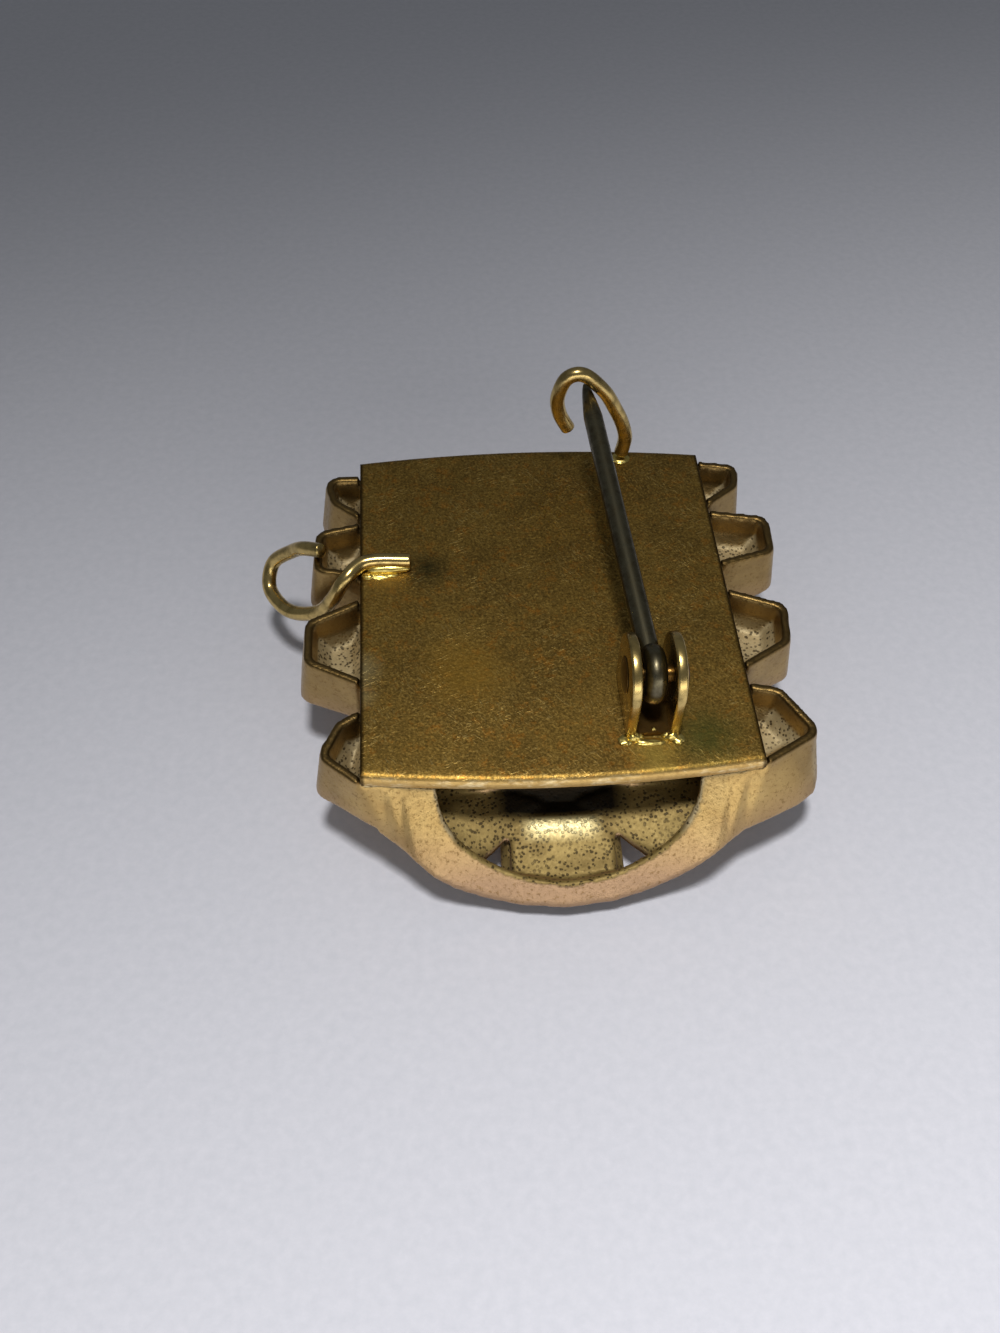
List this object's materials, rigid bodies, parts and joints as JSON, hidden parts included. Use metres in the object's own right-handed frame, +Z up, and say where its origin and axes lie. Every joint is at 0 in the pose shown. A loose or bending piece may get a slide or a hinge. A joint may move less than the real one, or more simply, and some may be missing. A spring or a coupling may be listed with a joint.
{
  "type": "chatelaine watch pin",
  "caption": "Brass watch pin lying face down: a hollow lobed front, an upturned wall at each end with a D-shaped opening, a flat back plate, a hinged steel pin, a wire catch and a wire hook for a watch.",
  "frame": {"origin": "middle of the flat front land, which lies on the table", "axes": "+Z up from the table to the back of the pin, +Y along the plate from the joint's end to the catch's end, +X across it, away from the watch hook"},
  "size_m": [0.0283, 0.0296, 0.013],
  "materials": {
    "shell_brass": "struck, worn",
    "plate_brass": "brushed, tarnished brown",
    "wire_gold": "polished, gold-filled",
    "rivet_brass": "tarnished",
    "pin_steel": "dull, dark"
  },
  "bodies": {
    "pin_body": {"front_shell": "shell_brass", "back_plate": "plate_brass", "watch_hook": "wire_gold", "c_catch": "wire_gold", "pin_joint": "wire_gold", "joint_rivet": "rivet_brass"},
    "stem": {"pin_stem": "pin_steel"}
  },
  "joints": [
    {"name": "pin_swing", "type": "hinge", "parent": "pin_body", "child": "stem", "pos_m": [0.0043, -0.00695, 0.009], "axis": [1, 0, 0], "range_deg": [0, 95]}
  ]
}
